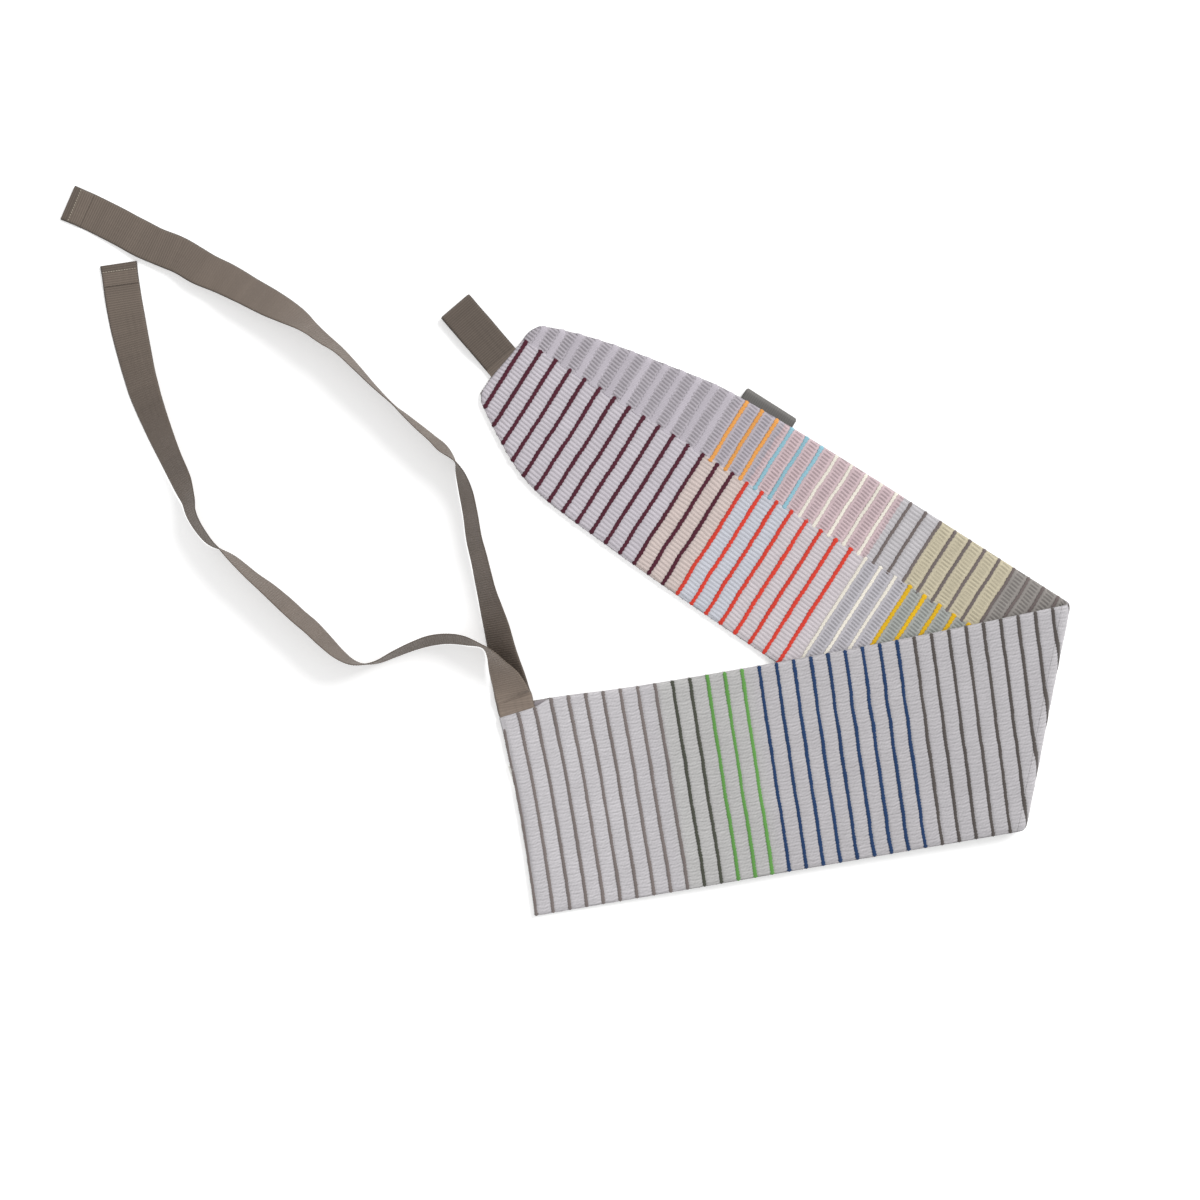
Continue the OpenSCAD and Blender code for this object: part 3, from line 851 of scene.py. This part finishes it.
def hem_pieces(name, centre, w, out, length, up, seed):
    """The turned hem on a tie's end and the light stitches across it."""
    away = out * up
    left = length[-1] - length
    tail = left < HEM_LEN
    c = centre[tail] + away[tail] * (WEBBING_T * 0.98)
    shade = 0.80 + 0.26 * smoothstep(left[tail], HEM_SHOWN - 0.8, HEM_SHOWN + 0.4)
    fold = tape(
        f"{name}_turned_hem", c, w[tail], out[tail], length[tail], WEBBING_W - 0.6, TAUPE, seed, shade
    )
    row = np.argmin(np.abs(left - HEM_SHOWN))
    spots = (np.arange(STITCHES) - (STITCHES - 1) / 2) * STITCH_PITCH
    stitches = [centre[row] + w[row] * k + away[row] * (WEBBING_T * 1.5 + 0.1) for k in spots]
    return fold, thread_group(f"{name}_hem_thread", stitches, w[row], away[row])


STITCHES, STITCH_PITCH, STITCH_LEN, STITCH_R = 13, 2.7, 2.3, 0.42
STITCH_RINGS, STITCH_SIDES = 7, 6
STITCH_COLOUR = rgb(176, 166, 150)


def thread_group(name, middles, direction, up):
    """Short rounded stitches that lie along one direction."""
    verts, faces, cols = [], [], []
    side = np.cross(up, direction)
    rings, m = STITCH_RINGS, STITCH_SIDES
    for at in middles:
        base = len(verts)
        for u in np.linspace(-1, 1, rings):
            r = STITCH_R * math.sqrt(max(1 - abs(u) ** 3, 0.04))
            axis = at + direction * (u * STITCH_LEN / 2) + up * (STITCH_R * 0.8 * (1 - u * u))
            for a in np.linspace(0, FULL_TURN, m, endpoint=False):
                verts.append((axis + side * (r * math.cos(a)) + up * (r * math.sin(a))) * MM)
                cols.append(STITCH_COLOUR * (0.9 + 0.1 * math.cos(3 * a + 5 * u)))
        faces += [*(ring_quads(rings, m) + base), tuple(base + k for k in range(m - 1, -1, -1))]
        faces.append(tuple(base + (rings - 1) * m + k for k in range(m)))
    verts = np.array(verts)
    return mesh_object(name, verts, faces, np.array(cols), verts[:, :2] / MM)


def build_tie(name, points, low_z, up, seed, root_light):
    """A tie as a sewn-in root, a free length, its hem and the hem's stitches, with its path and length."""
    centre, w, out, length, cut = tie_frames(points, low_z)
    # Painted light: the root and the first stretch of the free length are drawn lighter, as where the tie
    # rises towards the light; the upper tie takes it, the lower none
    painted_light = 1 + root_light * (1 - smoothstep(length, INSIDE + 45, INSIDE + 110))
    sewn = [v[: cut + 1] for v in (centre, w, out, length)]
    root = tape(f"{name}_root", *sewn, WEBBING_W, TAUPE, seed, painted_light[: cut + 1])
    centre, w, out, length = (v[cut:] for v in (centre, w, out, length))
    free = tape(f"{name}_webbing", centre, w, out, length, WEBBING_W, TAUPE, seed, painted_light[cut:])
    fold, thread = hem_pieces(name, centre, w, out, length, up, seed)
    for piece in (root, free, fold):
        dress(piece, TAPE)
    dress(thread, YARN_MAT)
    step = len(centre) // 120
    path = [tuple(p * MM) for p in centre[:-step:step]] + [tuple(centre[-1] * MM)]
    return root, free, fold, thread, path, (length[-1] - length[0]) * MM


lower_root, lower_tie, lower_hem, lower_stitches, lower_path, lower_len = build_tie(
    "lower_tie", LOWER_ROUTE, COVER_T, 1, 1, 0.0
)
upper_root, upper_tie, upper_hem, upper_stitches, upper_path, upper_len = build_tie(
    "upper_tie", UPPER_ROUTE, COVER_T + WEBBING_T + 0.15, -1, 2, 0.6
)


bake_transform(lower_root)
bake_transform(upper_root)
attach(lower_tie, "lower_tie_strip")
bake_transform(upper_tie)
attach(lower_hem, "lower_tie_strip")
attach(lower_stitches, "lower_tie_strip")
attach(upper_hem, "upper_tie_strip")
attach(upper_stitches, "upper_tie_strip")
for piece, node in (
    (lower_root, "lower_tie_tail"), (lower_tie, "lower_tie"), (lower_hem, "lower_tie_hem"),
    (lower_stitches, "lower_tie_hem_stitches"), (upper_root, "upper_tie_tail"), (upper_tie, "upper_tie"),
    (upper_hem, "upper_tie_hem"), (upper_stitches, "upper_tie_hem_stitches"),
):
    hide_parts(node)


def hold(obj, part):
    """Rides a piece of the loop arm or the tie arm on its body, and bakes a piece of the fold into place."""
    if part == "fold":
        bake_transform(obj)
    else:
        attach(obj, part)
    return obj


ARMS = {"loop_arm": loop_arm_grid, "fold": fold_grid, "tie_arm": tie_arm_grid}
for part, grid_of in ARMS.items():
    for face, relief, side, shown_on in (
        ("patchwork", patch_relief, 1, "loop_arm"), ("striped", stripe_relief, -1, "tie_arm"),
    ):
        step = 1 if part in (shown_on, "fold") else 2
        shape = tie_arm_front_grid if (part, face) == ("tie_arm", "striped") else grid_of
        piece = cover(f"{part}_{face}_cloth", shape(step), relief, side)
        dress(piece, CLOTH)
        hold(piece, part)
        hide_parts(f"{part}_{face}_cover")
    pad = wadding(f"{part}_wadding_layer", tie_arm_pad_grid(4) if part == "tie_arm" else grid_of(4))
    dress(pad, WADDING)
    hold(pad, part)
    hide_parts(f"{part}_wadding")


# ---- stripe yarns, laid on the cloth
YARN_SIDES = 9
YARN_SUNK = 0.1  # how deep a yarn's middle lies in the cloth


def yarn_line(s, t0, t1, side, width, high, ends, seed, free, index):
    """One raised yarn across the cloth from t0 to t1: its points, faces and flat coordinates.
    Its free ends are rounded and swell by the share ends."""
    count = max(8, int(abs(t1 - t0) / 1.0))
    t = np.linspace(t0, t1, count)
    if index is not None:
        s = s - stripe_bend(index, t)
    r = np.random.default_rng(seed)
    pitch, swing = (PILLOW_PITCH, 0.20) if side > 0 else (3.0, 0.26)
    knob = 1 + swing * np.cos(FULL_TURN * (t + r.uniform(0, 9)) / pitch)
    knob = knob + 0.16 * noise(t, 0 * t + seed, 2.2, 90)
    sway = 0.55 * noise(t, 0 * t + seed * 3, 22, 91) + 0.3 * noise(t, 0 * t + seed, 6, 92)
    end = np.minimum(t - t0 if free[0] else 99.0, t1 - t if free[1] else 99.0) + 0 * t
    cap = np.sqrt(np.clip(1 - (1 - np.clip(end / 1.8, 0, 1)) ** 2, 0.02, 1))
    swell = 1 + ends * 0.30 * np.exp(-((end / 3.2) ** 2))
    half_w = width / 2 * knob * cap * swell
    half_h = high * (0.9 + 0.1 * knob) * cap * swell
    angle = np.linspace(0, FULL_TURN, YARN_SIDES, endpoint=False)
    ss = (s + sway)[:, None] + half_w[:, None] * np.cos(angle)[None]
    tt = np.broadcast_to(t[:, None], ss.shape)
    d = edge_distance(np.stack([s + sway, t], axis=-1))
    nn = (puff(d) - YARN_SUNK)[:, None] + half_h[:, None] * np.sin(angle)[None]
    nn = np.maximum(nn, 0.1)
    points = place(ss, tt, side * nn)
    points[..., 2] = np.maximum(points[..., 2], 0.0)
    m = YARN_SIDES
    caps = [tuple(range(m)), tuple((count - 1) * m + c for c in range(m - 1, -1, -1))]
    faces = [f[::-side] for f in (*ring_quads(count, m), *(c[::-1] for c in caps))]
    return points.reshape(-1, 3), faces, np.stack([ss, tt], axis=-1).reshape(-1, 2)


def edge_span(s, front=False):
    """Where the band's bottom and top edges cross the line at s. front has the striped cover's dip."""
    lines = OUTLINES + ([FRONT_TOP] if front else [])
    hits = []
    for line in lines:
        side = line[:, 0] - s
        for i in np.nonzero(side[:-1] * side[1:] <= 0)[0]:
            w = side[i] / (side[i] - side[i + 1]) if side[i] != side[i + 1] else 0.0
            hits.append(line[i, 1] * (1 - w) + line[i + 1, 1] * w)
    if len(hits) < 2:
        return None
    low, high = min(hits), max(hits)
    if len(hits) > 2 and front and s > TIE_ARM_LEN - 200:
        high = max(h for h in hits if h < high)
    return low, high


FRONT_TOP = tie_arm_front_grid(2)[:, -1]


def part_of(s, t):
    a = s * math.cos(SKEW) + t * math.sin(SKEW)
    return "loop_arm" if a < -HALF_ARC else "tie_arm" if a > HALF_ARC else "fold"


def split_at_fold(s, t0, t1, lean):
    """The stretches of the line at s from t0 to t1 that lie on each part of the band."""
    cuts = [t0, t1]
    slope = lean / (2 * HALF_W)
    s = s + slope * HALF_W
    for a in (-HALF_ARC, HALF_ARC):
        t = (a - s * math.cos(SKEW)) / (math.sin(SKEW) - slope * math.cos(SKEW))
        if t0 + 0.5 < t < t1 - 0.5:
            cuts.append(t)
    cuts = sorted(cuts)
    return [(part_of(s - slope * (p + q) / 2, (p + q) / 2), p, q) for p, q in zip(cuts[:-1], cuts[1:])]


yarns = {}
# Width and height of the patchwork's yarns, where they are not 4.2 by 0.95
YARN_SIZE = {"ash": (8.0, 0.45), "cream": (3.6, 0.7), "taupe": (3.4, 0.8), "mustard": (4.6, 0.95)}


def add_yarn(face, yarn, s, t0, t1, side, width, high, ends, seed, tint, index=None):
    """Lays a yarn at s on each part of the band that it crosses; index is its stripe on the striped face."""
    lean = 0.0 if index is None else stripe_lean(index)
    for part, p, q in split_at_fold(s, t0, t1, lean):
        if q - p < 1.5:
            continue
        free = (abs(p - t0) < 0.01, abs(q - t1) < 0.01)
        points, faces, flat = yarn_line(s, p, q, side, width, high, ends, seed, free, index)
        bucket = yarns.setdefault((part, face, yarn), [[], [], [], [], 0])
        bucket[0].append(points)
        bucket[1] += [tuple(i + bucket[4] for i in f) for f in faces]
        bucket[2].append(flat)
        bucket[3].append(np.tile(YARN[yarn] * tint, (len(points), 1)))
        bucket[4] += len(points)


def lay_patchwork_yarns():
    seed = 0
    for table, upper in ((LOWER_YARNS, False), (UPPER_YARNS, True)):
        for first, last, yarn in table:
            for index in np.arange(first, last + 0.1, 1.0):
                seed += 1
                s = index * STRIPE_PITCH - (LOOP_ARM_LEN - FIRST_PATCH_STRIPE)
                span = edge_span(s)
                if span is None or s > TIE_ARM_LEN - 8:
                    continue
                low, high = (ROW_T - 3.0, span[1] + 0.4) if upper else (span[0] - 0.5, ROW_T + 2.0)
                low, high = max(low, span[0] - 0.5), min(high, span[1] + 0.4)
                if high - low < 5:
                    continue
                size = YARN_SIZE.get(yarn, (4.2, 0.95))
                tint = 1 + 0.05 * math.sin(seed * 2.3)
                add_yarn("patchwork", yarn, s, low, high, 1, *size, 1.0, seed, tint)


def lay_striped_yarns():
    for first, last, yarn in STRIPE_YARNS:
        for index in range(first, last + 1):
            s = TIE_ARM_LEN - FIRST_STRIPE - index * STRIPE_PITCH
            span = edge_span(s, front=True)
            if span is None:
                continue
            tint = 1 + 0.06 * math.sin(index * 1.9)
            width = 4.0 if yarn in ("green", "blue") else 3.6
            low, high = span[0] - 0.4, span[1] + 0.3
            add_yarn("striped", yarn, s, low, high, -1, width, 0.6, 0.6, 500 + index, tint, index)


lay_patchwork_yarns()
lay_striped_yarns()
for (part, face, yarn), (points, faces, flats, colours, _) in yarns.items():
    points, colours, flats = (np.concatenate(v) for v in (points, colours, flats))
    obj = mesh_object(f"{part}_{face}_{yarn}_yarn", points, faces, colours, flats)
    dress(obj, YARN_MAT)
    hold(obj, part)


# ---- webbing loop
LOOP_ARM_TURN = FACING - SKEW
LOOP_DIR = LOOP_ARM_TURN + math.pi - math.radians(LOOP_LEAN)
ARM_X = np.array([math.cos(LOOP_ARM_TURN), math.sin(LOOP_ARM_TURN)])
ARM_Y = np.array([-math.sin(LOOP_ARM_TURN), math.cos(LOOP_ARM_TURN)])
LOOP_OUT = np.array([math.cos(LOOP_DIR), math.sin(LOOP_DIR), 0])
LOOP_RIGHT = np.array([math.sin(LOOP_DIR), -math.cos(LOOP_DIR), 0])
LOOP_ROOT = FOLD_XY - (LOOP_ARM_LEN + 1.5) * ARM_X + LOOP_OFFSET * ARM_Y


def loop_frames():
    """The tape's middle line: out along the bottom, round the end and back over the top."""
    high = LOOP_GAP + 2 * WEBBING_T
    r = (high - WEBBING_T) / 2
    root, end = 2.7, 1.5 + LOOP_LEN - high / 2
    low = root - 0.62
    side = [(-9, low), (2, low), (10, root - 1.3), (28, WEBBING_T / 2 + 0.02), (end, WEBBING_T / 2)]
    turn = [(end + r * math.sin(a), high / 2 - r * math.cos(a)) for a in np.linspace(0.3, math.pi - 0.3, 9)]
    top = high - WEBBING_T / 2
    back = [(end, top), (28, top), (10, root + 1.5), (2, root + 0.62), (-9, root + 0.62)]
    line = smooth_curve(side + turn + back, 280, rounds=2)
    centre = np.array([[*LOOP_ROOT, 0]]) + line[:, :1] * LOOP_OUT + line[:, 1:] * np.array([0, 0, 1.0])
    along = unit(np.gradient(centre, axis=0))
    w = np.tile(LOOP_RIGHT, (len(centre), 1))
    return centre, w, np.cross(along, w)


centre, w, out = loop_frames()
length = np.r_[0, np.cumsum(np.linalg.norm(np.diff(centre, axis=0), axis=1))]
loop_piece = tape("loop_tape", centre, w, out, length, WEBBING_W, TAUPE * 0.76, 5)
dress(loop_piece, TAPE)


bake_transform(loop_piece)
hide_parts("loop_webbing")


# ---- side label: a blank folded tape
def side_label():
    """A blank tape folded lengthwise: its two leaves are slightly apart and its ends rounded."""
    centre_s = LABEL_FROM_END - LOOP_ARM_LEN + LABEL_LEN / 2
    x = np.linspace(-LABEL_LEN / 2, LABEL_LEN / 2, 75)
    from_end = LABEL_LEN / 2 - np.abs(x)
    tip = LABEL_OUT - 2.6 * (1 - np.sqrt(np.clip(1 - (1 - np.clip(from_end / 2.6, 0, 1)) ** 2, 0, 1)))
    u = np.r_[np.linspace(0, 1, 26)[:-1], np.linspace(1, 0, 26)]
    leaf = np.r_[np.full(25, -1.0), np.full(26, 1.0)]
    verts, flat = [], []
    for skin in (1, -1):
        for k in range(len(u)):
            reach = -3 + (tip + 3) * u[k]
            apart = 0.30 + 0.45 * math.sin(math.pi * u[k]) ** 2 if u[k] < 0.999 else 0.0
            z = MID_Z + leaf[k] * (apart + skin * 0.13) + 0.3 * np.sin(x / 9) * u[k]
            base = FOLD_XY[None] + (centre_s + x)[:, None] * ARM_X[None]
            base = base + (HALF_W + reach + (skin * 0.13 if u[k] > 0.999 else 0.0))[:, None] * ARM_Y[None]
            verts.append(np.column_stack([base, z]))
            flat.append(np.column_stack([x, reach]))
    verts, flat = np.concatenate(verts) * MM, np.concatenate(flat)
    # The label is darker towards both ends and lighter towards its folded edge
    label_tone = 1 - 0.3 * smoothstep(np.abs(flat[:, 0]), LABEL_LEN / 2 - 2.5, LABEL_LEN / 2)
    label_tone = label_tone * (1 + 0.5 * smoothstep(flat[:, 1], 4.2, 7.5))
    colours = rgb(96, 94, 92)[None] * label_tone[:, None]
    return mesh_object("side_label_tape", verts, slab_faces(len(u), len(x)), colours, flat)


label = side_label()
dress(label, LABEL)
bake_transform(label)
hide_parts("side_label")

# ---- hidden pieces keep their CAD shapes
for node, mat in (
    ("loop_tail", TAIL), ("loop_backing_patch", BACKING), ("ties_backing_patch", BACKING),
    ("loop_stitching", THREAD), ("ties_stitching", THREAD), ("mouth_bar_tack", THREAD),
):
    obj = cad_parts[node]
    obj.data.materials.clear()
    obj.data.materials.append(mat)


# ---- floor and light
FLOOR_HALF = 6.0  # metres


def stage():
    """A pale floor just below the object, with a little light of its own so that shadows stay soft."""
    corners = [(x * FLOOR_HALF, y * FLOOR_HALF, 0) for x, y in ((-1, -1), (1, -1), (1, 1), (-1, 1))]
    floor = mesh_object("floor", corners, [(0, 1, 2, 3)], smooth=False)
    floor.location.z = -0.0004
    mat, nodes, links, shader, colour = material("floor_white", 0.9, 0.0, rgb(246, 246, 246))
    coords = nodes.new("ShaderNodeTexCoord").outputs["Object"]
    colour = shade_by(nodes, links, shader, colour, (noise_node(nodes, links, coords, 3), 0.995, 1.0))
    links.new(colour, shader.inputs["Emission Color"])
    shader.inputs["Emission Strength"].default_value = 0.3
    floor.data.materials.append(mat)


def area_light(name, location, size, power):
    light = bpy.data.lights.new(name, "AREA")
    light.shape, light.size, light.energy = "DISK", size, power
    obj = bpy.data.objects.new(name, light)
    obj.location = location
    obj.rotation_euler = (-Vector(location)).to_track_quat("-Z", "Y").to_euler()
    bpy.context.scene.collection.objects.link(obj)


stage()
area_light("key", (4.4, 3.8, 4.6), 4.0, 470)
area_light("fill", (-3.0, -1.6, 4.5), 4.0, 55)
world = bpy.data.worlds.new("studio")
world.use_nodes = True
world.node_tree.nodes["Background"].inputs["Color"].default_value = (1, 1, 1, 1)
world.node_tree.nodes["Background"].inputs["Strength"].default_value = 0.58
bpy.context.scene.world = world
bpy.context.scene.view_settings.view_transform = "Standard"
